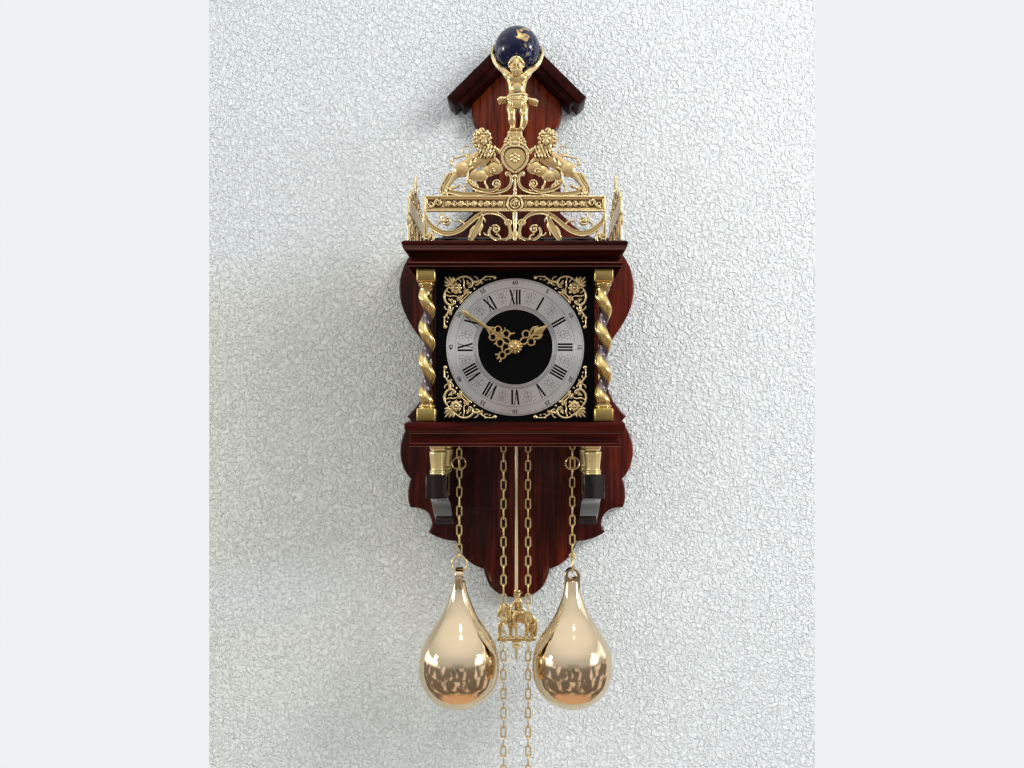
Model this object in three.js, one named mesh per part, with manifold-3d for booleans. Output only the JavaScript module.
// Wall clock of the Zaan type: a mahogany backboard with a gabled head, a hooded case with twisted
// brass columns, pierced brass frets, a chain-driven movement, two pear weights and a rod pendulum.
// Millimetres, +Z up. The origin lies on the centre line, on the back face of the backboard, level
// with the top of the shelf. The clock faces -Y, so a "depth" is a distance in front of the wall.

import * as THREE from 'three';
import { mergeVertices } from 'three/addons/utils/BufferGeometryUtils.js';
import Module from 'manifold-3d';

const wasm = await Module();
wasm.setup();

// Clearances and shared amounts
const fit = 0.3;
const overrun = 4;
const degree = Math.PI / 180;

// Backboard and gabled head
const boardThickness = 14;
const boardHalfWidth = 125;
const boardRise = 335;
const boardDrop = 187;
const headHalfWidth = 47.5;
const hangerWidth = 40;
const hangerHeight = 10;
const hangerThickness = 2;
const hangerTooth = 2;
const hangerDrop = 60;

// Roof boards
const roofApex = 410;
const roofHalfSpan = 72.5;
const roofDepth = 36;
const roofBand = 10.4;
const roofMoulding = 6;
const roofMouldingSetback = 5;

// Shelf
const shelfHalfWidth = 98.5;
const shelfFront = 165;
const shelfThickness = 8.5;
const shelfEdgeRound = 1.6;
const shelfMouldingHalfWidth = 95;
const shelfMouldingFront = 161;
const shelfMouldingHeight = 13.5;
const shelfCove = 2.6;
const shelfRail = 33;

// Bracket arms and the turned vases on them
const bracketX = 73;
const bracketWidth = 19.3;
const bracketFront = 137;
const bracketDrop = 55;
const bracketFace = 22;
const vaseHeight = 27;
const vaseRadius = 8.2;
const vaseX = 72.5;
const vaseFrontDepth = 125;
const vaseRearDepth = 50;

// Columns
const columnX = 80.3;
const columnFrontDepth = 148;
const columnRearDepth = 34;
const columnHeight = 139.5;
const columnBlock = 17.3;
const capitalHeight = 12.5;
const plinthHeight = 12.5;
const blockBevel = 1.2;
const torusHeight = 4;
const torusRadius = 7.6;
const neckRadius = 6.4;
const neckHeight = 2.2;
const twistRadius = 5.4;
const twistOffset = 2.3;
const twistPitch = 30;

// Cornice of the hood
const corniceHeight = 17.5;
const corniceTopHalfWidth = 101;
const corniceTopFront = 168;
const corniceInset = 8.6;
const corniceRail = 30;
const hoodBoardThickness = 5;

// Side doors
const doorThickness = 4;
const doorX = 73;
const doorPlay = 0.6;
const doorHeel = 3;
const doorRecess = 1.2;
const doorStile = 12;
const doorPinRadius = 1;
const doorPinLength = 3;
const knobRadius = 3.2;
const knobReach = 7;

// Dial
const dialZ = 69;
const dialHalfWidth = 72.2;
const dialThickness = 2;
const dialFront = 138.5;
const dialHole = 5;
const ringOuter = 63.5;
const ringInner = 34.5;
const ringThickness = 1.2;
const spandrelReach = 66;
const spandrelArm = 50;
const spandrelThickness = 2.4;
const spandrelBoss = 5.4;
const spandrelBall = 1.7;
const spandrelRib = 2.8;
const dialFootX = 44;
const dialFootRadius = 2.5;

// Hands
const minuteAngle = 304 * degree;
const hourAngle = 56.7 * degree;
const minuteLength = 60;
const hourLength = 37.6;
const hourTail = 17;
const handThickness = 1;
const hourHandDepth = 143;
const minuteHandDepth = 146;
const handNutRadius = 3.4;
const handNutLength = 3;

// Movement
const plateHalfWidth = 60;
const plateHeight = 131;
const plateThickness = 2;
const backPlateDepth = 64;
const platesApart = 48;
const pillarRadius = 3;
const pillarInset = 8;
const pillarX = 44;
const centreWheelSet = 6;
const strikeWheelSet = 10;
const thirdWheelSet = 12;
const escapeWheelSet = 32;
const greatWheelSet = 38;
const motionWheelSet = 2;
const hourWheelSet = 7;
const motionPinionLength = 4;
const arborRadius = 1.5;
const wheelThickness = 2;
const pinionRadius = 3.4;
const toothDepth = 1.6;
const meshGap = 0.35;
const centreWheelRadius = 20;
const thirdWheelRadius = 15;
const escapeWheelRadius = 11;
const anchorRise = 14.2;
const anchorWidth = 3;
const crutchDrop = 54;
const crutchWidth = 4;
const crutchSet = 3;
const forkGap = 0.4;
const strikeGreatRadius = 26;
const strikeWheelRadius = 14;
const cannonRadius = 5;
const motionWheelRadius = 15;
const motionPinionRadius = 4;
const pipeWall = 0.9;
const pipeGap = 0.35;
const bellRadius = 22;
const bellHeight = 24;
const bellWall = 1.6;
const bellPost = 1.5;
const bellX = 38;
const bellDepth = 40;
const bellRim = 101;
const hammerX = 54;
const hammerZ = 78;
const hammerHead = 3;
const hammerGap = 1.4;
const hammerArm = 2.5;
const hammerRise = 26;
const sprocketWidth = 12;
const sprocketFlange = 2;
const sprocketCoreShare = 0.72;
const sprocketTeeth = 7;

// Pendulum
const pendulumDepth = 36;
const rodRadius = 1.75;
const rodFoot = 247;
const rodTail = 20;
const bobHeight = 53;
const bobBottom = rodFoot - rodTail;
const bobTop = bobBottom - bobHeight;
const bobHalfWidth = 20.5;
const bobThickness = 6;
const nutRadius = 5;
const nutHeight = 7;
const cockLegX = 11.5;
const cockLegWidth = 3;
const cockBar = 6;
const cockHeight = 4.5;
const suspensionWidth = 5;
const suspensionLength = 10;
const suspensionThickness = 0.6;

// Chains
const chainDepth = 90;
const freeX = 12;
const weightX = 55.2;
const linkPitch = 9.3;
const linkHalfWidth = 3.15;
const linkWire = 0.8;
const linkBite = 0.2;
const strandTop = 70;
const freeFoot = 362;
const smallRing = 2.4;
const smallRingWire = 0.75;
const stopRingRadius = 6.7;
const stopRingDrop = 34;
const stopRingTilt = 24 * degree;

// Weights
const weightRadius = 39.25;
const weightHeight = 138;
const weightTop = 142;
const lugWidth = 15;
const lugHeight = 18;
const lugThickness = 5;
const lugHole = 4;
const lugHoleDrop = 6.4;
const weightRing = 7.5;
const weightRingWire = 0.9;

// Frets on the hood
const fretHalfWidth = 82;
const fretDepth = 154;
const fretThickness = 3;
const fretLowerHeight = 28;
const fretBandHeight = 14;
const fretUpperHeight = 59;
const sideFretX = 97;
const sideFretHalfLength = 55;
const sideFretDepth = 94;
const sideFretThickness = 2.5;
const sideFretUpper = 37;

// Figure and globe
const figureX = 2;
const figureHeight = 64;
const figureBase = 7;
const figureBaseHeight = 2;
const globeRadius = 21.4;
const globeRise = 79;
const globeSetback = 15;
const globeSides = 12;
const handRadius = 1.8;

// Finishes
const finish = (color, roughness, metalness) => (
  new THREE.MeshStandardMaterial({ color, roughness, metalness }));
const mahogany = finish(0x4a140d, 0.3, 0);
const darkMahogany = finish(0x2a0c0a, 0.25, 0);
const goldBrass = finish(0xc8a564, 0.35, 1);
const antiqueBrass = finish(0x9a8446, 0.35, 1);
const paleBrass = finish(0xe0c9a0, 0.15, 1);
const silvered = finish(0xb9b3ae, 0.4, 1);
const blackDial = finish(0x0a0a0c, 0.5, 0);
const blueEnamel = finish(0x141d4a, 0.15, 0);
const steel = finish(0x8f9296, 0.35, 1);
const whiteMetal = finish(0xb08d3c, 0.4, 1);

const clock = new THREE.Group();

// Names a geometry, gives it its finish and hangs it in the clock
function piece(name, geometry, material) {
  const mesh = new THREE.Mesh(geometry, material);
  mesh.name = name;
  clock.add(mesh);
  return mesh;
}

// Closed mesh to solid: only the corners' places count
function solidOf(geometry) {
  const bare = geometry.clone();
  bare.deleteAttribute('normal');
  bare.deleteAttribute('uv');
  const welded = mergeVertices(bare);
  const mesh = new wasm.Mesh({
    numProp: 3,
    vertProperties: new Float32Array(welded.attributes.position.array),
    triVerts: new Uint32Array(welded.index.array),
  });
  return new wasm.Manifold(mesh);
}

function geometryOf(solid) {
  const { vertProperties, triVerts } = solid.getMesh();
  const geometry = new THREE.BufferGeometry();
  geometry.setAttribute('position', new THREE.BufferAttribute(vertProperties, 3));
  geometry.setIndex(new THREE.BufferAttribute(triVerts, 1));
  geometry.computeVertexNormals();
  return geometry;
}

function join(...geometries) {
  return geometryOf(geometries.map(solidOf).reduce((whole, next) => whole.add(next)));
}

function cut(geometry, ...tools) {
  return geometryOf(tools.map(solidOf).reduce((whole, tool) => whole.subtract(tool), solidOf(geometry)));
}

// Corner points [x, z] to a shape
function outline(points) {
  return new THREE.Shape(points.map(([x, z]) => new THREE.Vector2(x, z)));
}

// A front-view shape given its thickness, from one depth to another
function plate(shape, nearWall, farWall, curveSegments = 3) {
  const geometry = new THREE.ExtrudeGeometry(shape, {
    depth: farWall - nearWall,
    bevelEnabled: false,
    curveSegments,
  });
  return geometry.rotateX(Math.PI / 2).translate(0, -nearWall, 0);
}

// A side-view shape, its points [depth, z], given its width about one X
function slab(points, x, width) {
  const geometry = new THREE.ExtrudeGeometry(outline(points), { depth: width, bevelEnabled: false });
  return geometry.rotateX(Math.PI / 2).rotateZ(-Math.PI / 2).translate(x + width / 2, 0, 0);
}

function box(x0, x1, depth0, depth1, z0, z1) {
  const geometry = new THREE.BoxGeometry(x1 - x0, depth1 - depth0, z1 - z0);
  return geometry.translate((x0 + x1) / 2, -(depth0 + depth1) / 2, (z0 + z1) / 2);
}

function circle(x, z, radius, count, phase = 0) {
  return Array.from({ length: count }, (_, i) => {
    const angle = phase + (2 * Math.PI * i) / count;
    return [x + radius * Math.cos(angle), z + radius * Math.sin(angle)];
  });
}

// A disc or short rod whose axis runs from the wall to the viewer
function disc(x, z, radius, depth0, depth1, count = 8) {
  return plate(outline(circle(x, z, radius, count)), depth0, depth1);
}

// A vertical turning: profile of [radius, z] from foot to top, closed on the axis
function turned(profile, count, x, depth) {
  const rings = [[0, profile[0][1]], ...profile, [0, profile[profile.length - 1][1]]];
  const geometry = new THREE.LatheGeometry(rings.map(([r, z]) => new THREE.Vector2(r, z)), count);
  return geometry.rotateX(Math.PI / 2).translate(x, -depth, 0);
}

// Rings of points, all with one count, joined in order and closed at both ends
function loft(rings) {
  const count = rings[0].length;
  const triangles = [];
  for (let ring = 0; ring < rings.length - 1; ring += 1) {
    for (let i = 0; i < count; i += 1) {
      const next = (i + 1) % count;
      const a = ring * count + i;
      const b = ring * count + next;
      triangles.push(a, b, b + count, a, b + count, a + count);
    }
  }
  const last = (rings.length - 1) * count;
  for (let i = 1; i < count - 1; i += 1) {
    triangles.push(0, i + 1, i, last, last + i, last + i + 1);
  }
  const geometry = new THREE.BufferGeometry();
  geometry.setAttribute('position', new THREE.Float32BufferAttribute(rings.flat(2), 3));
  geometry.setIndex(triangles);
  return geometry;
}

// A mitred moulding: each profile entry is [outward, z] round the front and both sides
function moulding(profile, halfWidth, front, back) {
  return loft(profile.map(([out, z]) => [
    [-halfWidth - out, -front - out, z],
    [halfWidth + out, -front - out, z],
    [halfWidth + out, -back, z],
    [-halfWidth - out, -back, z],
  ]));
}

// A wire bent round a closed path in one plane, with the plane's unit normal
function loopWire(path, normal, radius, sides) {
  const ridge = Math.PI;
  const count = path.length;
  const points = [];
  path.forEach((point, i) => {
    const after = path[(i + 1) % count].clone().sub(point).normalize();
    const along = path[(i + 1) % count].clone().sub(path[(i + count - 1) % count]).normalize();
    const mitre = 1 / along.dot(after);
    const outward = along.clone().cross(normal).multiplyScalar(mitre);
    for (let side = 0; side < sides; side += 1) {
      const angle = ridge + (2 * Math.PI * side) / sides;
      const place = point.clone()
        .addScaledVector(outward, radius * Math.cos(angle))
        .addScaledVector(normal, radius * Math.sin(angle));
      points.push(place.x, place.y, place.z);
    }
  });
  const triangles = [];
  for (let i = 0; i < count; i += 1) {
    for (let side = 0; side < sides; side += 1) {
      const a = i * sides + side;
      const b = i * sides + ((side + 1) % sides);
      const c = ((i + 1) % count) * sides + side;
      const d = ((i + 1) % count) * sides + ((side + 1) % sides);
      triangles.push(a, d, b, a, c, d);
    }
  }
  const geometry = new THREE.BufferGeometry();
  geometry.setAttribute('position', new THREE.Float32BufferAttribute(points, 3));
  geometry.setIndex(triangles);
  return geometry;
}

const sideways = new THREE.Vector3(1, 0, 0);
const forwards = new THREE.Vector3(0, -1, 0);
const backwards = new THREE.Vector3(0, 1, 0);

// A round ring facing the viewer, or facing sideways
function ring(x, depth, z, radius, wire, normal, steps = 12, sides = 4) {
  const across = normal === sideways ? backwards : sideways;
  const path = Array.from({ length: steps }, (_, i) => {
    const angle = Math.PI / 2 + (2 * Math.PI * i) / steps;
    const place = new THREE.Vector3(x, -depth, z + radius * Math.sin(angle));
    return place.addScaledVector(across, radius * Math.cos(angle));
  });
  return loopWire(path, normal, wire, sides);
}

// A flat band of changing width along a smooth line: stations of [x, z, width]
function band(stations, count) {
  const line = new THREE.SplineCurve(stations.map(([x, z]) => new THREE.Vector2(x, z)));
  const left = [];
  const right = [];
  for (let i = 0; i <= count; i += 1) {
    const t = i / count;
    const at = t * (stations.length - 1);
    const before = Math.min(Math.floor(at), stations.length - 2);
    const width = THREE.MathUtils.lerp(stations[before][2], stations[before + 1][2], at - before);
    const place = line.getPoint(t);
    const tangent = line.getTangent(t);
    left.push([place.x - (tangent.y * width) / 2, place.y + (tangent.x * width) / 2]);
    right.unshift([place.x + (tangent.y * width) / 2, place.y - (tangent.x * width) / 2]);
  }
  return outline([...right.reverse(), ...left.reverse()]);
}

const mirrored = (points) => points.map(([x, ...rest]) => [-x, ...rest]);

// Backboard: the right half runs down from the gable, [x, z] for a line or [bend x, bend z, x, z]
// for a curve, across as shares of the half width, up as shares of the rise, down of the drop.
const boardShares = [
  [0.384, 0.973], [0.368, 0.931, 0.288, 0.928], [0.224, 0.922, 0.224, 0.896],
  [0.232, 0.806, 0.376, 0.746], [0.376, 0.663], [0.486, 0.624], [0.72, 0.567, 0.904, 0.533],
  [0.992, 0.487, 1, 0.429], [1.008, 0.352, 0.808, 0.26], [0.72, 0.215, 0.72, 0.179],
  [0.72, 0.134, 0.784, 0.101], [0.824, 0.054, 0.932, 0.018], [0.88, 0.003, 0.91, -0.011],
  [0.992, -0.075, 0.992, -0.176], [0.984, -0.267, 0.9, -0.324], [0.928, -0.364, 0.924, -0.412],
  [0.928, -0.455, 0.904, -0.487], [0.736, -0.481, 0.72, -0.578], [0.728, -0.604, 0.752, -0.626],
  [0.656, -0.674, 0.512, -0.679], [0.464, -0.802, 0.28, -0.837], [0.24, -1, 0, -1],
];
const roofSlant = Math.SQRT2;
const gableTop = roofApex - (roofBand + roofMoulding + fit) * roofSlant;

function backboard() {
  const reach = (z) => z * (z > 0 ? boardRise : boardDrop);
  const half = new THREE.Path();
  half.moveTo(0, gableTop);
  half.lineTo(headHalfWidth, gableTop - headHalfWidth);
  boardShares.forEach((share) => {
    const [x, z] = share.slice(-2);
    if (share.length === 2) half.lineTo(x * boardHalfWidth, reach(z));
    else half.quadraticCurveTo(share[0] * boardHalfWidth, reach(share[1]), x * boardHalfWidth, reach(z));
  });
  const right = half.getPoints(3).map(({ x, y }) => [x, y]);
  const left = mirrored(right.slice(1, -1)).reverse();
  const pocketTop = gableTop - hangerDrop + fit;
  const pocketFoot = pocketTop - hangerHeight - hangerTooth - 2 * fit;
  const halfPocket = hangerWidth / 2 + fit;
  return cut(
    plate(outline([...right, ...left]), 0, boardThickness),
    box(-halfPocket, halfPocket, -overrun, hangerThickness + fit, pocketFoot, pocketTop),
  );
}

// Toothed strip let into the back, which catches the wall nail
function hangerStrip() {
  const top = gableTop - hangerDrop;
  const teeth = 8;
  const edge = Array.from({ length: 2 * teeth + 1 }, (_, i) => [
    -hangerWidth / 2 + (i * hangerWidth) / (2 * teeth),
    top - hangerHeight - (i % 2) * hangerTooth,
  ]);
  const corners = [[hangerWidth / 2, top], [-hangerWidth / 2, top]];
  return plate(outline([...edge, ...corners]), fit, fit + hangerThickness);
}

// One roof board: the outer band, and a moulding set back under it, mitred at the ridge
function roofBoard(side) {
  const tip = [roofHalfSpan - roofBand / roofSlant, roofApex - roofHalfSpan - roofBand / roofSlant];
  const bandShape = [
    [0, roofApex],
    [roofHalfSpan, roofApex - roofHalfSpan],
    tip,
    [0, roofApex - roofBand * roofSlant],
  ];
  const foot = [tip[0] - roofMouldingSetback, tip[1] + roofMouldingSetback];
  const inner = roofMoulding / roofSlant;
  const root = roofBand / 2 / roofSlant;
  const underShape = [
    [0, roofApex - (roofBand / 2) * roofSlant],
    [foot[0] + root, foot[1] + root],
    [foot[0] - inner, foot[1] - inner],
    [0, roofApex - (roofBand + roofMoulding) * roofSlant],
  ];
  const place = side < 0 ? mirrored : (points) => points;
  return join(
    plate(outline(place(bandShape)), 0, roofDepth),
    plate(outline(place(underShape)), 0, roofDepth - roofMouldingSetback),
  );
}

const pendulumPivot = dialZ + centreWheelRadius + pinionRadius + thirdWheelRadius + pinionRadius
  + 2 * meshGap + anchorRise;
const swing = 3.5 * degree;

// Shelf board, open for the four chain strands and the pendulum, with sockets for the door pins
const shelfFoot = -shelfThickness - shelfMouldingHeight;
const doorAxisX = doorX + doorThickness / 2;
const heelReach = Math.hypot(doorHeel, doorThickness / 2);
const doorAxisDepth = columnRearDepth + columnBlock / 2 + heelReach + doorPlay / 2;
const doorFront = dialFront - dialThickness - doorPlay;

function shelfBoard() {
  const edge = shelfEdgeRound;
  const board = moulding([
    [-edge, -shelfThickness], [0, edge - shelfThickness], [0, -edge], [-edge, 0],
  ], shelfHalfWidth, shelfFront, boardThickness);
  const chainHole = linkHalfWidth + 1.5 * fit;
  const holes = [-weightX, -freeX, freeX, weightX].map((x) => (
    box(x - chainHole, x + chainHole, chainDepth - chainHole, chainDepth + chainHole,
      -shelfThickness - overrun, overrun)));
  const swingRoom = Math.tan(swing) * (pendulumPivot - shelfFoot) + rodRadius + 3 * fit;
  const slot = box(-swingRoom, swingRoom, pendulumDepth - rodRadius * 2, pendulumDepth + rodRadius * 2,
    -shelfThickness - overrun, overrun);
  const sockets = [-1, 1].map((side) => (
    turned([[doorPinRadius + fit, -doorPinLength - fit], [doorPinRadius + fit, overrun]], 8,
      side * doorAxisX, doorAxisDepth)));
  return cut(board, ...holes, slot, ...sockets);
}

// Moulding frame under the shelf, open in the middle
function shelfMoulding() {
  const cove = shelfCove;
  const h = shelfMouldingHeight;
  const profileShares = [[0, 0], [0, 0.26], [0.35, 0.3], [1, 0.42], [1, 0.5], [0.6, 0.75], [0, 0.9], [0, 1]];
  const frame = moulding(
    profileShares.map(([inset, up]) => [-inset * cove, shelfFoot + up * h]),
    shelfMouldingHalfWidth, shelfMouldingFront, boardThickness,
  );
  const half = shelfMouldingHalfWidth - shelfRail;
  return cut(frame, box(-half, half, boardThickness + shelfRail / 2, shelfMouldingFront - shelfRail / 2,
    shelfFoot - overrun, -shelfThickness + overrun));
}

// Scrolled bracket arm: flat top under the vases, upright face, S-curve and lip below
const bracketTop = shelfFoot - vaseHeight;

function bracketArm(side) {
  const reach = bracketFront - boardThickness;
  const at = (forward, down) => [boardThickness + forward * reach, bracketTop - down * bracketDrop];
  const face = bracketFace / bracketDrop;
  const undersideShares = [
    [0.86, 0.42], [0.72, 0.46], [0.6, 0.55], [0.5, 0.69], [0.4, 0.82], [0.31, 0.9], [0.31, 1], [0, 1],
  ];
  const points = [at(0, 0), at(1, 0), at(1, face), ...undersideShares.map(([f, d]) => at(f, d))];
  return slab(points, side * bracketX, bracketWidth);
}

// Turned vase between shelf and bracket
function vase(x, depth) {
  const profileShares = [
    [0.86, 0], [0.86, 0.08], [0.68, 0.14], [0.72, 0.3], [0.97, 0.62], [0.97, 0.72],
    [0.78, 0.82], [1, 0.88], [1, 1],
  ];
  return turned(profileShares.map(([r, up]) => [r * vaseRadius, bracketTop + up * vaseHeight]), 8, x, depth);
}

// Square block with small bevels at both ends
function columnBlockAt(x, depth, foot, height) {
  const half = columnBlock / 2;
  const square = (inset, z) => [
    [x - half + inset, -depth - half + inset, z],
    [x + half - inset, -depth - half + inset, z],
    [x + half - inset, -depth + half - inset, z],
    [x - half + inset, -depth + half - inset, z],
  ];
  const top = foot + height;
  return loft([square(blockBevel, foot), square(0, foot + blockBevel), square(0, top - blockBevel),
    square(blockBevel, top)]);
}

// Twisted column: block, torus and neck at each end, and a shaft whose round section winds
// about the column's axis
function column(x, depth, sides, stepsPerTurn) {
  const shaftFoot = plinthHeight + torusHeight + neckHeight;
  const shaftTop = columnHeight - capitalHeight - torusHeight - neckHeight;
  const turns = (shaftTop - shaftFoot) / twistPitch;
  const steps = Math.round(turns * stepsPerTurn);
  const rings = Array.from({ length: steps + 1 }, (_, i) => {
    const z = THREE.MathUtils.lerp(shaftFoot, shaftTop, i / steps);
    const wind = (2 * Math.PI * (z - shaftFoot)) / twistPitch;
    const ease = Math.min(1, i / 2, (steps - i) / 2);
    const cx = x - twistOffset * ease * Math.cos(wind);
    const cy = -depth - twistOffset * ease * Math.sin(wind);
    return Array.from({ length: sides }, (__, side) => {
      const angle = (2 * Math.PI * side) / sides;
      return [cx + twistRadius * Math.cos(angle), cy + twistRadius * Math.sin(angle), z];
    });
  });
  const collar = (foot, up) => turned([
    [neckRadius, foot], [torusRadius, foot + up * torusHeight * 0.3],
    [torusRadius, foot + up * torusHeight * 0.7], [neckRadius, foot + up * torusHeight],
    [neckRadius, foot + up * (torusHeight + neckHeight + fit)],
  ].sort((a, b) => a[1] - b[1]), sides, x, depth);
  return join(
    columnBlockAt(x, depth, 0, plinthHeight),
    columnBlockAt(x, depth, columnHeight - capitalHeight, capitalHeight),
    collar(plinthHeight - fit, 1),
    collar(columnHeight - capitalHeight + fit, -1),
    loft(rings),
  );
}

// Cornice frame round the top of the case, with sockets for the door pins
const corniceTop = columnHeight + corniceHeight;
const hoodTop = corniceTop + hoodBoardThickness;

function cornice() {
  const profileShares = [
    [0.55, 0], [0.55, 0.2], [0.86, 0.24], [1, 0.34], [0.9, 0.55], [0.55, 0.76], [0.24, 0.84],
    [0.24, 0.9], [0.12, 0.93], [0.12, 1],
  ];
  const frame = moulding(
    profileShares.map(([inset, up]) => [-inset * corniceInset, columnHeight + up * corniceHeight]),
    corniceTopHalfWidth, corniceTopFront, boardThickness,
  );
  const half = corniceTopHalfWidth - corniceRail;
  const front = corniceTopFront - corniceRail + fit;
  const sockets = [-1, 1].map((side) => (
    turned([[doorPinRadius + fit, columnHeight - overrun],
      [doorPinRadius + fit, columnHeight + doorPinLength + fit]], 8, side * doorAxisX, doorAxisDepth)));
  return cut(
    frame,
    box(-half, half, boardThickness + overrun, front, columnHeight - overrun, corniceTop + overrun),
    ...sockets,
  );
}

function hoodBoard() {
  const edge = shelfEdgeRound;
  return moulding([[-edge, corniceTop], [0, corniceTop + edge], [0, hoodTop - edge], [-edge, hoodTop]],
    corniceTopHalfWidth, corniceTopFront, boardThickness);
}

// Side door: a stiled panel that turns on two pins at its rear edge
function sideDoor(side) {
  const back = doorAxisDepth - doorHeel;
  const [foot, top] = [doorPlay, columnHeight - doorPlay];
  const near = side * doorX;
  const far = side * (doorX + doorThickness);
  const [x0, x1] = [Math.min(near, far), Math.max(near, far)];
  const recessNear = side * (doorX + doorThickness - doorRecess);
  const recessFar = side * (doorX + doorThickness + overrun);
  const panel = cut(
    box(x0, x1, back, doorFront, foot, top),
    box(Math.min(recessNear, recessFar), Math.max(recessNear, recessFar), back + doorStile,
      doorFront - doorStile, foot + doorStile, top - doorStile),
  );
  const pin = turned([[doorPinRadius, -doorPinLength], [doorPinRadius, columnHeight + doorPinLength]], 8,
    side * doorAxisX, doorAxisDepth);
  return join(panel, pin);
}

// Turned knob on the door's front stile
function doorKnob(side) {
  const profileShares = [[0.5, 0], [0.4, 0.45], [0.95, 0.65], [1, 0.8], [0.6, 1]];
  const knob = turned(profileShares.map(([r, out]) => [r * knobRadius, out * knobReach]), 8, 0, 0);
  const place = side * (doorX + doorThickness);
  return knob.rotateY((side * Math.PI) / 2).translate(place, -(doorFront - doorStile / 2), dialZ);
}

const sides = [['left', -1], ['right', 1]];

piece('backboard', backboard(), mahogany);
piece('hanger_strip', hangerStrip(), steel);
piece('shelf_board', shelfBoard(), mahogany);
piece('shelf_moulding', shelfMoulding(), mahogany);
piece('hood_cornice', cornice(), mahogany);
piece('hood_board', hoodBoard(), mahogany);
sides.forEach(([name, side]) => {
  piece(`roof_board_${name}`, roofBoard(side), mahogany);
  piece(`bracket_arm_${name}`, bracketArm(side), darkMahogany);
  piece(`vase_front_${name}`, vase(side * vaseX, vaseFrontDepth), antiqueBrass);
  piece(`vase_rear_${name}`, vase(side * vaseX, vaseRearDepth), antiqueBrass);
  piece(`column_front_${name}`, column(side * columnX, columnFrontDepth, 8, 6), antiqueBrass);
  piece(`column_rear_${name}`, column(side * columnX, columnRearDepth, 6, 4), antiqueBrass);
  piece(`side_door_${name}`, sideDoor(side), mahogany);
  piece(`door_knob_${name}`, doorKnob(side), antiqueBrass);
});

// Dial plate on four feet that stand on the movement's front plate
const frontPlateDepth = backPlateDepth + plateThickness + platesApart;
const frontPlateFace = frontPlateDepth + plateThickness;

function dialPlate() {
  const panel = box(-dialHalfWidth, dialHalfWidth, dialFront - dialThickness, dialFront,
    fit, columnHeight - fit);
  const feet = [-1, 1].flatMap((across) => [-1, 1].map((up) => (
    disc(across * dialFootX, dialZ + up * dialFootX, dialFootRadius, frontPlateFace,
      dialFront - dialThickness / 2, 8))));
  const hole = disc(0, dialZ, dialHole, dialFront - dialThickness - overrun, dialFront + overrun, 12);
  return cut(join(panel, ...feet), hole);
}

function ringShape(x, z, outer, inner, count) {
  const shape = outline(circle(x, z, outer, count));
  shape.holes.push(new THREE.Path(circle(x, z, inner, count).map(([px, pz]) => new THREE.Vector2(px, pz))));
  return shape;
}

function chapterRing() {
  return plate(ringShape(0, dialZ, ringOuter, ringInner, 32), dialFront, dialFront + ringThickness);
}

// Corner casting: a rib that follows the chapter ring, a rib along each edge, a boss in the corner,
// two cross scrolls and a ball at the end of each arm
function spandrel(across, up) {
  const ribRadius = ringOuter + spandrelRib;
  const place = ([x, z, ...rest]) => [across * x, dialZ + up * z, ...rest];
  const swap = ([x, z, ...rest]) => [z, x, ...rest];
  const arc = [74, 60, 45, 30, 16].map((angle) => (
    [ribRadius * Math.cos(angle * degree), ribRadius * Math.sin(angle * degree), spandrelRib]));
  const edge = spandrelReach - spandrelRib / 2;
  const tip = spandrelReach - spandrelArm;
  const edgeRib = [[tip + spandrelBall, edge, spandrelRib], [edge, edge, spandrelRib * 1.4]];
  const bossAt = spandrelReach - 2.1 * spandrelBoss;
  const scrollShares = [[0.55, 1], [0.6, 0.9], [0.72, 0.88], [0.84, 0.84]];
  const spine = [[ribRadius / Math.SQRT2, ribRadius / Math.SQRT2, spandrelRib], [edge, edge, spandrelRib]];
  const scroll = scrollShares.map(([x, z]) => [x * edge, z * edge, spandrelRib * 0.8]);
  const front = dialFront + spandrelThickness;
  const rib = (stations, count) => plate(band(stations.map(place), count), dialFront, front);
  return join(
    rib(arc, 3),
    rib(edgeRib, 1),
    rib(edgeRib.map(swap), 1),
    rib(scroll, 2),
    rib(scroll.map(swap), 2),
    rib(spine, 1),
    disc(...place([bossAt, bossAt]), spandrelBoss, dialFront, front + spandrelThickness / 2, 8),
    disc(...place([tip + spandrelBall, edge]), spandrelBall, dialFront, front, 5),
    disc(...place([edge, tip + spandrelBall]), spandrelBall, dialFront, front, 5),
  );
}

// Hands are drawn at twelve o'clock, [x, distance from the centre], and turned to their hour
const turnedTo = (angle) => ([x, z, ...rest]) => [
  x * Math.cos(angle) + z * Math.sin(angle),
  dialZ - x * Math.sin(angle) + z * Math.cos(angle),
  ...rest,
];

function handOf(depth, angle, rings, polygons, bore) {
  const place = turnedTo(angle);
  const face = depth + handThickness;
  const parts = [
    ...rings.map(([x, z, radius, wire]) => (
      plate(ringShape(...place([x, z]), radius, radius - wire, 6), depth, face))),
    ...polygons.map((points) => plate(outline(points.map(place)), depth, face)),
  ];
  return cut(join(...parts), disc(0, dialZ, bore, depth - overrun, face + overrun, 8));
}

const minuteBore = arborRadius + fit;
const pipeRadius = arborRadius + pipeGap + pipeWall;

function minuteHand() {
  const long = minuteLength;
  const wire = 0.018 * long;
  const ringShares = [[0.055, 0.12], [-0.055, 0.12], [0.065, 0.21], [-0.065, 0.21], [0, 0.3]];
  const bladeShares = [
    [-0.02, 0.33], [0.02, 0.33], [0.016, 0.84], [0.04, 0.86], [0, 1], [-0.04, 0.86], [-0.016, 0.84],
  ];
  return handOf(minuteHandDepth, minuteAngle,
    ringShares.map(([x, z]) => [x * long, z * long, 0.058 * long, wire]),
    [circle(0, 0, 0.085 * long, 8), bladeShares.map(([x, z]) => [x * long, z * long])],
    minuteBore);
}

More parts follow.
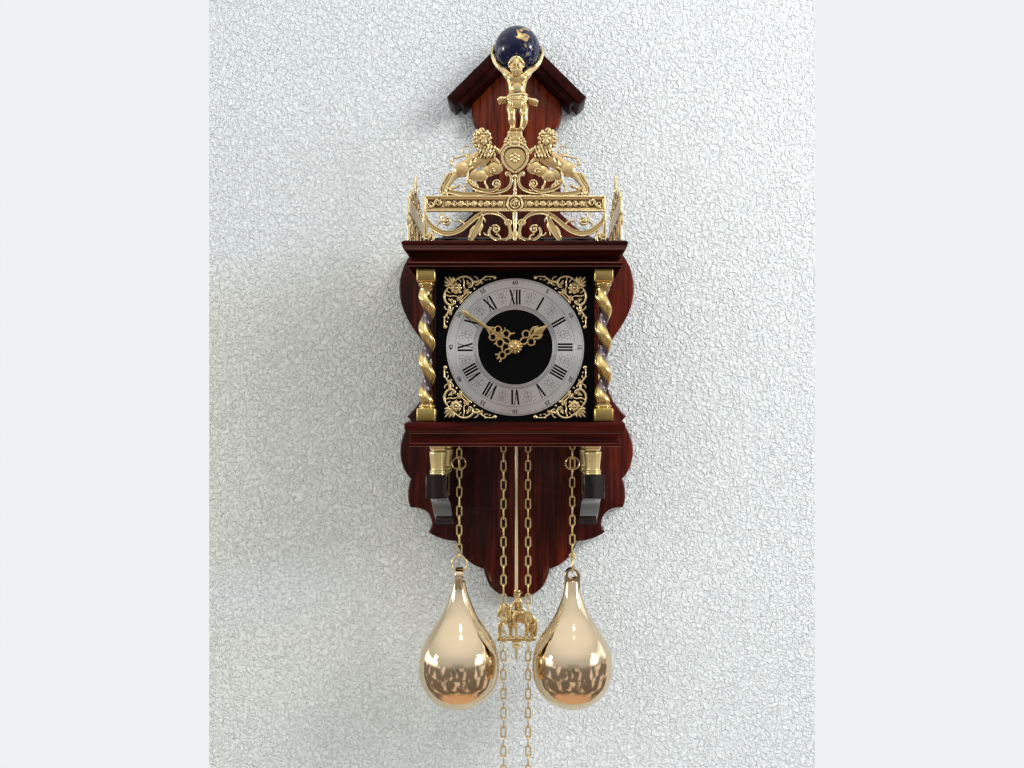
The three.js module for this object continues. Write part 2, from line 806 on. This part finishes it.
function hourHand() {
  const long = hourLength;
  const wire = 0.032 * long;
  const tail = hourTail / hourLength;
  const ringShares = [[0.1, 0.3], [-0.1, 0.3], [0.09, 0.48], [-0.09, 0.48], [0, -0.68 * tail]];
  const leafShares = [
    [-0.05, 0.5], [0.05, 0.5], [0.14, 0.66], [0.06, 0.82], [0, 1], [-0.06, 0.82], [-0.14, 0.66],
  ];
  const stemShares = [[-0.03, -0.5 * tail], [0.03, -0.5 * tail], [0.03, 0.56], [-0.03, 0.56]];
  const trefoilShares = [[-0.1, -0.86 * tail], [0, -0.82 * tail], [0.1, -0.86 * tail], [0, -tail]];
  return handOf(hourHandDepth, hourAngle,
    ringShares.map(([x, z]) => [x * long, z * long, 0.1 * long, wire]),
    [circle(0, 0, 0.15 * long, 8), ...[leafShares, stemShares, trefoilShares].map((shares) => (
      shares.map(([x, z]) => [x * long, z * long])))],
    pipeRadius + fit);
}

// Movement: where each arbor stands, seen from the front
const sprocketX = (weightX + freeX) / 2;
const sprocketRadius = (weightX - freeX) / 2 - linkHalfWidth - fit;
const greatWheelRadius = sprocketX - pinionRadius - meshGap;
const thirdZ = dialZ + centreWheelRadius + pinionRadius + meshGap;
const escapeZ = thirdZ + thirdWheelRadius + pinionRadius + meshGap;
const strikeZ = strandTop + strikeGreatRadius + pinionRadius + meshGap;
const motionZ = dialZ - cannonRadius - motionWheelRadius - meshGap;
const hourWheelRadius = dialZ - motionZ - motionPinionRadius - meshGap;
const innerFace = backPlateDepth + plateThickness;

// Toothed wheel: each tooth has a root point and a tip point
function toothed(x, z, radius, teeth, depth, lean = 0) {
  const points = Array.from({ length: 2 * teeth }, (_, i) => {
    const angle = ((i + (i % 2) * lean) * Math.PI) / teeth;
    const reach = i % 2 ? radius : radius - toothDepth;
    return [x + reach * Math.cos(angle), z + reach * Math.sin(angle)];
  });
  return plate(outline(points), depth, depth + wheelThickness);
}

const arbor = (x, z, from, to, radius = arborRadius) => disc(x, z, radius, from, to, 6);
const pinion = (x, z, set) => disc(x, z, pinionRadius, innerFace + set - wheelThickness / 2,
  innerFace + set + wheelThickness * 1.5, 6);

function movementPlate(depth, places, extras) {
  const sheet = box(-plateHalfWidth, plateHalfWidth, depth, depth + plateThickness, 0, plateHeight);
  const holes = places.map(([x, z]) => (
    arbor(x, z, depth - overrun, depth + plateThickness + overrun, arborRadius + fit)));
  return cut(join(sheet, ...extras), ...holes);
}

const trainPlaces = [[0, dialZ], [0, thirdZ], [0, escapeZ], [0, pendulumPivot], [-sprocketX, strandTop],
  [sprocketX, strandTop], [sprocketX, strikeZ]];
const cockFoot = pendulumPivot + 1.5 * fit;
const bellTop = bellRim + bellHeight;

// Back plate with its riveted pillars, the pendulum cock and the bell stand
function backPlate() {
  const pillars = [-1, 1].flatMap((side) => [pillarInset, plateHeight - pillarInset].map((z) => (
    disc(side * pillarX, z, pillarRadius, innerFace - plateThickness / 2, frontPlateDepth, 6))));
  const root = backPlateDepth + plateThickness / 2;
  const cockTop = cockFoot + cockHeight;
  const legs = [-1, 1].map((side) => box(
    side * cockLegX - cockLegWidth / 2, side * cockLegX + cockLegWidth / 2,
    pendulumDepth - cockBar / 2, root, cockFoot, cockTop));
  const reach = cockLegX + cockLegWidth / 2;
  const bar = box(-reach, reach, pendulumDepth - cockBar / 2, pendulumDepth + cockBar / 2,
    cockFoot, cockTop);
  const standFoot = bellTop + fit;
  const stand = box(bellX - 2 * bellPost, bellX + 2 * bellPost, bellDepth - 2 * bellPost, root,
    standFoot, standFoot + 2 * bellPost);
  const post = turned([[bellPost, bellTop - 3 * bellWall], [bellPost, standFoot + bellPost]], 6,
    bellX, bellDepth);
  return movementPlate(backPlateDepth, [...trainPlaces, [hammerX, hammerZ]],
    [...pillars, ...legs, bar, stand, post]);
}

// Chain sprocket: two flanges with a spiked core between them, turning loose on its arbor
function sprocket(side) {
  const x = side * sprocketX;
  const [from, to] = [chainDepth - sprocketWidth / 2, chainDepth + sprocketWidth / 2];
  const core = sprocketRadius * sprocketCoreShare;
  const spikes = circle(x, strandTop, sprocketRadius - fit, sprocketTeeth)
    .flatMap((point, i) => [point, circle(x, strandTop, core, sprocketTeeth, Math.PI / sprocketTeeth)[i]]);
  const body = join(
    disc(x, strandTop, sprocketRadius, from, from + sprocketFlange, 10),
    disc(x, strandTop, sprocketRadius, to - sprocketFlange, to, 10),
    disc(x, strandTop, core, from, to, 8),
    plate(outline(spikes), chainDepth - sprocketFlange / 2, chainDepth + sprocketFlange / 2),
  );
  return cut(body, arbor(x, strandTop, from - overrun, to + overrun, arborRadius + fit));
}

function greatWheel(side, radius) {
  const x = side * sprocketX;
  return join(
    arbor(x, strandTop, backPlateDepth, frontPlateFace),
    toothed(x, strandTop, radius, 24, innerFace + greatWheelSet),
  );
}

function centreWheel() {
  const cannonFrom = frontPlateFace + motionWheelSet;
  return join(
    arbor(0, dialZ, backPlateDepth, minuteHandDepth + handThickness),
    toothed(0, dialZ, centreWheelRadius, 18, innerFace + centreWheelSet),
    pinion(0, dialZ, greatWheelSet),
    disc(0, dialZ, cannonRadius, cannonFrom, cannonFrom + 1.5 * wheelThickness),
  );
}

function trainWheel(x, z, radius, teeth, set, drivenBySet, lean) {
  return join(
    arbor(x, z, backPlateDepth, frontPlateFace),
    toothed(x, z, radius, teeth, innerFace + set, lean),
    pinion(x, z, drivenBySet),
  );
}

function motionWheel() {
  const from = frontPlateFace + motionWheelSet;
  const pinionFrom = frontPlateFace + hourWheelSet - wheelThickness / 2;
  return join(
    arbor(0, motionZ, frontPlateDepth, pinionFrom + motionPinionLength),
    toothed(0, motionZ, motionWheelRadius, 14, from),
    disc(0, motionZ, motionPinionRadius, pinionFrom, pinionFrom + motionPinionLength, 8),
  );
}

function hourWheel() {
  const from = frontPlateFace + hourWheelSet;
  const to = hourHandDepth + handThickness;
  const wheel = join(toothed(0, dialZ, hourWheelRadius, 14, from), disc(0, dialZ, pipeRadius, from, to));
  return cut(wheel, arbor(0, dialZ, from - overrun, to + overrun, arborRadius + pipeGap));
}

// Anchor over the escape wheel, with the crutch that reaches back and down to the pendulum rod
function anchor() {
  const rise = anchorRise;
  const armShares = [
    [0.2, 0.2], [0.75, -0.14], [0.8, -0.42], [0.66, -0.46], [0.58, -0.2], [0.12, -0.1],
  ];
  const right = armShares.map(([x, z]) => [x * rise, pendulumPivot + z * rise]);
  const from = innerFace + escapeWheelSet;
  const crutchFrom = backPlateDepth - crutchSet - wheelThickness;
  const crutchTo = crutchFrom + wheelThickness;
  const forkZ = pendulumPivot - crutchDrop;
  const prongInner = rodRadius + forkGap;
  const prongs = [-1, 1].map((side) => {
    const near = side * prongInner;
    const far = side * (prongInner + wheelThickness);
    return box(Math.min(near, far), Math.max(near, far), pendulumDepth - rodRadius, crutchTo,
      forkZ, forkZ + wheelThickness);
  });
  return join(
    plate(outline([...right, ...mirrored(right).reverse()]), from, from + anchorWidth),
    arbor(0, pendulumPivot, crutchFrom, frontPlateFace),
    box(-crutchWidth / 2, crutchWidth / 2, crutchFrom, crutchTo, forkZ, pendulumPivot + crutchWidth / 2),
    box(-prongInner - wheelThickness, prongInner + wheelThickness, crutchFrom, crutchTo,
      forkZ, forkZ + wheelThickness),
    ...prongs,
  );
}

// Cup bell, open below, with a hole in the crown for its post
function bell() {
  const outerShares = [[1, 0], [0.97, 0.35], [0.84, 0.72], [0.5, 0.95]];
  const outer = outerShares.map(([r, up]) => [r * bellRadius, bellRim + up * bellHeight]);
  const inner = outer.map(([r, z], i) => [r - bellWall, i ? z - bellWall : z]).reverse();
  const bore = bellPost + fit;
  const profile = [...outer, [bore, bellTop], [bore, bellTop - bellWall], ...inner, outer[0]];
  const geometry = new THREE.LatheGeometry(profile.map(([r, z]) => new THREE.Vector2(r, z)), 12);
  return geometry.rotateX(Math.PI / 2).translate(bellX, -bellDepth, 0);
}

function hammer() {
  const headX = bellX + bellRadius + hammerGap + hammerHead;
  const headZ = hammerZ + hammerRise;
  const half = hammerArm / 2;
  const arm = [
    [hammerX - half, hammerZ], [hammerX + half, hammerZ], [headX + half, headZ], [headX - half, headZ],
  ];
  const [from, to] = [bellDepth - hammerArm / 2, bellDepth + hammerArm / 2];
  return join(
    plate(outline(arm), from, to),
    disc(headX, headZ, hammerHead, bellDepth - hammerHead, bellDepth + hammerHead, 8),
    arbor(hammerX, hammerZ, from - hammerArm / 2, innerFace + hammerArm),
    disc(hammerX, hammerZ, 2 * arborRadius, from - hammerArm / 2, to + hammerArm / 2, 8),
  );
}

// Pendulum rod with its suspension spring and the rating nuts under the bob
function pendulumRod() {
  const springFoot = pendulumPivot - suspensionLength;
  const half = suspensionWidth / 2;
  const spring = box(-half, half, pendulumDepth - suspensionThickness / 2,
    pendulumDepth + suspensionThickness / 2, springFoot - rodRadius, pendulumPivot);
  const block = box(-half - rodRadius / 2, half + rodRadius / 2, pendulumDepth - rodRadius,
    pendulumDepth + rodRadius, springFoot - suspensionWidth, springFoot);
  const rod = turned([[rodRadius, -rodFoot], [rodRadius, springFoot - rodRadius]], 8, 0, pendulumDepth);
  const nutTop = -bobBottom - fit;
  const nut = turned([
    [nutRadius * 0.8, nutTop - nutHeight], [nutRadius, nutTop - nutHeight * 0.75],
    [nutRadius * 0.6, nutTop - nutHeight * 0.5], [nutRadius, nutTop - nutHeight * 0.25],
    [nutRadius * 0.8, nutTop],
  ], 8, 0, pendulumDepth);
  return join(spring, block, rod, nut);
}

// Bob: a pierced casting of a horse with a rider, on a flat base bar, with a sleeve for the rod
function pendulumBob() {
  const high = bobBottom - bobTop;
  const half = bobHalfWidth;
  const place = ([x, up, ...rest]) => [x * half, -bobBottom + up * high, ...rest.map((w) => w * half)];
  const [from, to] = [pendulumDepth - bobThickness / 2, pendulumDepth + bobThickness / 2];
  const strokeShares = [
    [[-0.6, 0.46, 0.5], [-0.1, 0.42, 0.55], [0.45, 0.44, 0.5]],
    [[0.4, 0.45, 0.36], [0.66, 0.6, 0.3], [0.88, 0.58, 0.2]],
    [[-0.62, 0.42, 0.26], [-0.7, 0.24, 0.18], [-0.55, 0.02, 0.2]],
    [[-0.3, 0.36, 0.2], [-0.2, 0.2, 0.16], [-0.3, 0.02, 0.18]],
    [[0.42, 0.36, 0.22], [0.52, 0.2, 0.16], [0.44, 0.02, 0.18]],
    [[0.56, 0.4, 0.18], [0.84, 0.3, 0.14], [0.86, 0.02, 0.14]],
    [[-0.5, 0.56, 0.2], [-0.88, 0.4, 0.16], [-0.9, 0.02, 0.12]],
    [[0, 0.5, 0.4], [-0.02, 0.72, 0.4], [-0.04, 0.86, 0.3], [-0.04, 0.98, 0.3]],
    [[0, 0.74, 0.16], [0.3, 0.66, 0.14], [0.5, 0.56, 0.12]],
  ];
  const barHeight = bobThickness / 2;
  const casting = join(
    box(-half, half, from, to, -bobBottom, -bobBottom + barHeight),
    turned([[rodRadius * 2, -bobBottom], [rodRadius * 2, -bobTop]], 8, 0, pendulumDepth),
    ...strokeShares.map((stroke) => plate(band(stroke.map(place), 2), from, to)),
  );
  const bore = turned([[rodRadius + fit, -bobBottom - overrun], [rodRadius + fit, -bobTop + overrun]], 8,
    0, pendulumDepth);
  return cut(casting, bore);
}

piece('dial_plate', dialPlate(), blackDial);
piece('chapter_ring', chapterRing(), silvered);
[['top', 1], ['bottom', -1]].forEach(([level, up]) => {
  sides.forEach(([name, side]) => piece(`spandrel_${level}_${name}`, spandrel(side, up), goldBrass));
});
piece('minute_hand', minuteHand(), goldBrass);
piece('hour_hand', hourHand(), goldBrass);
piece('hand_nut', disc(0, dialZ, handNutRadius, minuteHandDepth + handThickness,
  minuteHandDepth + handThickness + handNutLength, 8), goldBrass);
piece('back_plate', backPlate(), paleBrass);
piece('front_plate', movementPlate(frontPlateDepth, [...trainPlaces, [0, motionZ]], []), paleBrass);
piece('centre_wheel', centreWheel(), paleBrass);
piece('third_wheel', trainWheel(0, thirdZ, thirdWheelRadius, 15, thirdWheelSet, centreWheelSet, 0),
  paleBrass);
piece('escape_wheel', trainWheel(0, escapeZ, escapeWheelRadius, 15, escapeWheelSet, thirdWheelSet, 0.6),
  paleBrass);
piece('anchor', anchor(), steel);
piece('motion_wheel', motionWheel(), paleBrass);
piece('hour_wheel', hourWheel(), paleBrass);
piece('great_wheel_left', greatWheel(-1, greatWheelRadius), paleBrass);
piece('great_wheel_right', greatWheel(1, strikeGreatRadius), paleBrass);
piece('strike_wheel', trainWheel(sprocketX, strikeZ, strikeWheelRadius, 14, strikeWheelSet,
  greatWheelSet, 0), paleBrass);
piece('sprocket_left', sprocket(-1), paleBrass);
piece('sprocket_right', sprocket(1), paleBrass);
piece('hammer', hammer(), steel);
piece('bell', bell(), whiteMetal);
piece('pendulum_rod', pendulumRod(), goldBrass);
piece('pendulum_bob', pendulumBob(), goldBrass);

// Chain: flattened links whose planes alternate, each hooked through the next
const linkLong = (linkPitch + 2 * linkWire - linkBite) / 2;

function link(x, z, facing) {
  const across = facing ? sideways : backwards;
  const wide = linkHalfWidth - linkWire;
  const corners = [[-wide, linkLong], [-wide, -linkLong], [wide, -linkLong], [wide, linkLong]];
  const path = corners.map(([a, up]) => (
    new THREE.Vector3(x, -chainDepth, z + up).addScaledVector(across, a)));
  return loopWire(path, facing ? forwards : sideways, linkWire, 3);
}

// Links from the lowest one up, until the strand has passed the sprocket's centre
function strand(x, lowest, facing) {
  const count = Math.ceil((strandTop - lowest) / linkPitch);
  return Array.from({ length: count }, (_, i) => link(x, lowest + i * linkPitch, facing === (i % 2 === 0)));
}

// A ring that hangs round the strand under the shelf and stops the weight there
function stopRing(x) {
  const hoop = ring(0, 0, -stopRingRadius, stopRingRadius, smallRingWire, forwards, 10, 3);
  return hoop.rotateX(-stopRingTilt).translate(x, -chainDepth, -stopRingDrop);
}

const lugHoleZ = -weightTop - lugHoleDrop;
const weightRingSteps = 10;
const weightRingBend = (lugThickness / 2) * Math.tan(Math.PI / weightRingSteps);
const weightRingZ = lugHoleZ + lugHole - weightRingWire - fit - weightRingBend + weightRing;
const smallRingZ = weightRingZ + weightRing - smallRingWire - weightRingWire + linkBite + smallRing;
const lowestLinkZ = smallRingZ + smallRing - smallRingWire - linkWire + linkBite + linkLong;

// The ring through the weight's lug, the small ring over it, and the strand up to the sprocket
function weightChain(side) {
  const x = side * weightX;
  const facing = side < 0;
  const [normal, crossing] = facing ? [forwards, sideways] : [sideways, forwards];
  return join(
    ...strand(x, lowestLinkZ, facing),
    stopRing(x),
    ring(x, chainDepth, smallRingZ, smallRing, smallRingWire, crossing, 8, 3),
    ring(x, chainDepth, weightRingZ, weightRing, weightRingWire, normal, weightRingSteps),
  );
}

function freeChain(side) {
  const x = side * freeX;
  const endRing = 1.5 * smallRing;
  const ringZ = endRing + smallRingWire - freeFoot;
  const lowest = ringZ + endRing - smallRingWire - linkWire + linkBite + linkLong;
  return join(
    ...strand(x, lowest, false),
    ring(x, chainDepth, ringZ, endRing, smallRingWire, forwards, 8, 3),
  );
}

// Pear weight with a flat pierced lug, which faces the viewer or stands edge on
function weight(side) {
  const x = side * weightX;
  const foot = -weightTop - weightHeight;
  const pearShares = [
    [0.3, 0.012], [0.53, 0.04], [0.76, 0.095], [0.92, 0.17], [1, 0.31], [0.96, 0.4],
    [0.82, 0.49], [0.63, 0.575], [0.44, 0.66], [0.3, 0.75], [0.22, 0.82], [0.19, 0.88],
  ];
  const pear = turned(pearShares.map(([r, up]) => [r * weightRadius, foot + up * weightHeight]), 12, 0, 0);
  const arch = circle(0, -weightTop - lugWidth / 2, lugWidth / 2, 12).slice(0, 7);
  const base = -weightTop - lugHeight;
  const lugShape = outline([...arch, [-lugWidth / 2, base], [lugWidth / 2, base]]);
  lugShape.holes.push(new THREE.Path(
    circle(0, lugHoleZ, lugHole, 8).map(([px, pz]) => new THREE.Vector2(px, pz))));
  const lug = plate(lugShape, -lugThickness / 2, lugThickness / 2);
  const whole = join(pear, lug);
  if (side < 0) whole.rotateZ(Math.PI / 2);
  return whole.translate(x, -chainDepth, 0);
}

// Pierced fret: strokes [x share, z share, width share]... of a zone, mirrored about the middle
function strokes(list, half, foot, height, widthUnit, from, to, count) {
  const place = ([x, up, width]) => [x * half, foot + up * height, width * widthUnit];
  return list.flatMap((stroke) => {
    const right = stroke.map(place);
    return [right, mirrored(right)].map((stations) => plate(band(stations, count), from, to));
  });
}

const lowerScrollShares = [
  [[0.97, 1, 0.2], [0.9, 0.5, 0.4], [0.74, 0.3, 0.4], [0.6, 0.45, 0.36], [0.45, 0.82, 0.3],
    [0.3, 0.98, 0.25], [0.14, 0.92, 0.22], [0, 0.6, 0.2]],
  [[0, 0.3, 0.2], [0.1, 0.13, 0.2], [0.2, 0.15, 0.2], [0.27, 0.36, 0.18], [0.22, 0.52, 0.16]],
  [[0.34, 0.88, 0.2], [0.4, 0.52, 0.5], [0.45, 0.2, 0.4], [0.47, -0.05, 0.3]],
  [[0.99, 1, 0.2], [0.985, 0.55, 0.22], [0.965, 0.2, 0.45], [0.95, -0.05, 0.45]],
];
const baseScrollShares = [
  [[0.78, 0, 0.3], [0.79, 0.14, 0.3], [0.75, 0.28, 0.3], [0.69, 0.4, 0.35]],
  [[0.77, 0.1, 0.25], [0.66, 0.02, 0.3], [0.45, 0.01, 0.35], [0.25, 0.05, 0.3], [0.1, 0.09, 0.25],
    [0, 0.3, 0.25]],
  [[0.28, 0.03, 0.25], [0.2, 0.12, 0.2], [0.14, 0.2, 0.2], [0.22, 0.24, 0.2]],
];
const lionShares = [
  [[0.24, 0.74, 1.1], [0.4, 0.62, 1.05], [0.56, 0.46, 1], [0.65, 0.38, 0.9]],
  [[0.64, 0.4, 0.7], [0.74, 0.25, 0.4], [0.76, 0.12, 0.3], [0.7, 0, 0.3]],
  [[0.3, 0.62, 0.4], [0.2, 0.64, 0.35], [0.12, 0.6, 0.3]],
  [[0.1, 0.44, 0.6], [0.26, 0.4, 0.95], [0.4, 0.3, 0.8], [0.46, 0.02, 0.3]],
];
const tailShares = [
  [[0.58, 0.5, 0.18], [0.65, 0.62, 0.16], [0.58, 0.74, 0.16], [0.49, 0.7, 0.16], [0.52, 0.58, 0.16]],
];

function frontFret() {
  const bandFoot = hoodTop + fretLowerHeight;
  const bandTop = bandFoot + fretBandHeight;
  const [from, to] = [fretDepth, fretDepth + fretThickness];
  const raised = to + fretThickness / 2;
  const half = fretHalfWidth;
  const unit = fretBandHeight;
  const upper = (list, face, count) => (
    strokes(list, half, bandTop, fretUpperHeight, unit, from, face, count));
  const shieldShares = [[-0.14, 0.7], [0, 0.74], [0.14, 0.7], [0.145, 0.52], [0, 0.34], [-0.145, 0.52]];
  const crownShares = [[-0.12, 0.7], [-0.15, 0.88], [-0.07, 0.96], [-0.05, 1], [0.05, 1], [0.07, 0.96],
    [0.15, 0.88], [0.12, 0.7]];
  const inUpper = ([x, up]) => [x * half, bandTop + up * fretUpperHeight];
  const stem = 0.03 * half;
  const mane = [0.37, 0.85];
  const heads = [-1, 1].map((side) => {
    const [x, z] = inUpper(mane);
    return disc(side * x, z, 0.68 * unit, from, raised, 8);
  });
  const seat = turned([[figureBase, bandTop + fretUpperHeight - figureBaseHeight],
    [figureBase, bandTop + fretUpperHeight]], 8, 0, (from + to) / 2);
  const whole = join(
    box(-half, half, from, to, bandFoot, bandTop),
    box(-stem, stem, from, to, hoodTop, bandTop + 0.4 * fretUpperHeight),
    disc(0, (bandFoot + bandTop) / 2, 0.55 * unit, to - fretThickness / 2, raised, 10),
    ...strokes(lowerScrollShares, half, hoodTop, fretLowerHeight, unit, from, to, 3),
    ...upper(baseScrollShares, to, 3),
    ...upper(lionShares, raised, 2),
    ...upper(tailShares, to, 3),
    ...heads,
    plate(outline(shieldShares.map(inUpper)), from, raised + fretThickness / 2),
    plate(outline(crownShares.map(inUpper)), from, to),
    seat,
  );
  return cut(whole, box(-2 * half, 2 * half, from - overrun, raised + overrun, hoodTop - unit, hoodTop));
}

// Side fret: the same kind of scrollwork in steps up to a leaf
function sideFret(side) {
  const bandFoot = hoodTop + fretLowerHeight;
  const bandTop = bandFoot + fretBandHeight;
  const half = sideFretHalfLength;
  const unit = fretBandHeight;
  const crestShares = [
    [[0.72, -0.05, 0.3], [0.66, 0.2, 0.4], [0.5, 0.24, 0.35], [0.36, 0.1, 0.3]],
    [[0.42, -0.05, 0.3], [0.36, 0.36, 0.4], [0.2, 0.42, 0.35], [0.06, 0.2, 0.3]],
  ];
  const leafShares = [[-0.12, 0], [-0.2, 0.5], [-0.08, 0.72], [0, 1], [0.08, 0.72], [0.2, 0.5], [0.12, 0]];
  const lowerShares = [
    [[0.96, 1, 0.25], [0.93, 0.4, 0.4], [0.7, 0.22, 0.4], [0.5, 0.6, 0.3], [0.3, 0.96, 0.3]],
    [[0, 0.3, 0.25], [0.18, 0.1, 0.3], [0.36, 0.3, 0.25], [0.3, 0.96, 0.25]],
    [[0.94, 0.4, 0.4], [0.94, -0.05, 0.4]],
    [[0.26, 0.2, 0.4], [0.26, -0.05, 0.4]],
  ];
  const thick = sideFretThickness;
  const whole = join(
    box(-half, half, 0, thick, bandFoot, bandTop),
    ...strokes(lowerShares, half, hoodTop, fretLowerHeight, unit, 0, thick, 3),
    ...strokes(crestShares, half, bandTop, sideFretUpper, unit, 0, thick, 3),
    plate(outline(leafShares.map(([x, up]) => [x * half, bandTop + (up - 0.02) * sideFretUpper])), 0, thick),
  );
  const trimmed = cut(whole, box(-2 * half, 2 * half, -overrun, thick + overrun, hoodTop - unit, hoodTop));
  return trimmed.rotateZ(Math.PI / 2).translate(side * sideFretX - thick / 2, -sideFretDepth, 0);
}

// A level section of an upright body: an ellipse about a place
function section([x, y, z, across, through], count) {
  return Array.from({ length: count }, (_, i) => {
    const angle = (2 * Math.PI * i) / count;
    return [x + across * Math.cos(angle), y + through * Math.sin(angle), z];
  });
}

const figureFoot = hoodTop + fretLowerHeight + fretBandHeight + fretUpperHeight;
const figureDepth = fretDepth + fretThickness / 2;
const globeZ = figureFoot + globeRise;
const globeDepth = figureDepth - globeSetback;
const globeFlat = globeRadius * Math.cos(Math.PI / globeSides);

// Standing figure that carries the globe on its raised arms: every part is a stack of level
// sections, [across, forward, up, half width, half thickness] as shares of its height
function figure() {
  const high = figureHeight;
  const at = ([x, forward, up, across, through]) => [
    figureX + x * high, -figureDepth - forward * high, figureFoot + up * high,
    across * high, through * high,
  ];
  const stack = (shares, count, last = []) => (
    loft([...shares.map(at), ...last].map((row) => section(row, count))));
  const legShares = [
    [0.05, 0.02, 0.02, 0.04, 0.05], [0.07, 0.03, 0.2, 0.05, 0.055], [0.06, 0, 0.42, 0.085, 0.085],
  ];
  const torsoShares = [
    [0, 0, 0.36, 0.12, 0.1], [0, 0, 0.46, 0.15, 0.12], [0, 0, 0.56, 0.115, 0.1],
    [0, 0.02, 0.7, 0.17, 0.12], [0, 0.03, 0.8, 0.13, 0.09], [0, 0.08, 0.86, 0.05, 0.05],
  ];
  const armShares = [[0.11, 0, 0.7, 0.06, 0.06], [0.2, 0, 0.8, 0.055, 0.055], [0.29, 0, 0.9, 0.045, 0.045]];
  const clothShares = [[0.1, 0.5], [0.33, 0.49], [0.36, 0.44], [0.3, 0.4], [0.1, 0.42]];
  const globeCentre = new THREE.Vector3(figureX, -globeDepth, globeZ);
  const sidesOf = (side) => {
    const flip = ([x, ...rest]) => [side * x, ...rest];
    const hand = new THREE.Vector3(side, -0.12, -0.21).normalize()
      .multiplyScalar(globeFlat + handRadius + fit).add(globeCentre);
    const cloth = clothShares.map(([x, up]) => [figureX + side * x * high, figureFoot + up * high]);
    return [
      stack(legShares.map(flip), 6),
      stack(armShares.map(flip), 6, [[hand.x, hand.y, hand.z, handRadius, handRadius]]),
      plate(outline(cloth), figureDepth - handRadius, figureDepth + handRadius),
    ];
  };
  const headPlace = at([0, 0.1, 0.9, 0.1, 0.1]);
  const head = new THREE.SphereGeometry(headPlace[3], 8, 6).rotateX(Math.PI / 2);
  return join(
    turned([[figureBase * 0.9, figureFoot], [figureBase * 0.8, figureFoot + figureBaseHeight]], 8,
      figureX / 2, figureDepth),
    stack(torsoShares, 8),
    ...sidesOf(-1),
    ...sidesOf(1),
    head.translate(headPlace[0], headPlace[1], headPlace[2]),
  );
}

function globe() {
  const geometry = new THREE.SphereGeometry(globeRadius, globeSides, 8);
  return geometry.rotateX(Math.PI / 2).translate(figureX, -globeDepth, globeZ);
}

piece('front_fret', frontFret(), goldBrass);
piece('atlas_figure', figure(), goldBrass);
piece('globe', globe(), blueEnamel);
sides.forEach(([name, side]) => {
  piece(`side_fret_${name}`, sideFret(side), goldBrass);
  piece(`weight_chain_${name}`, weightChain(side), paleBrass);
  piece(`free_chain_${name}`, freeChain(side), paleBrass);
  piece(`weight_${name}`, weight(side), paleBrass);
});

export default clock;
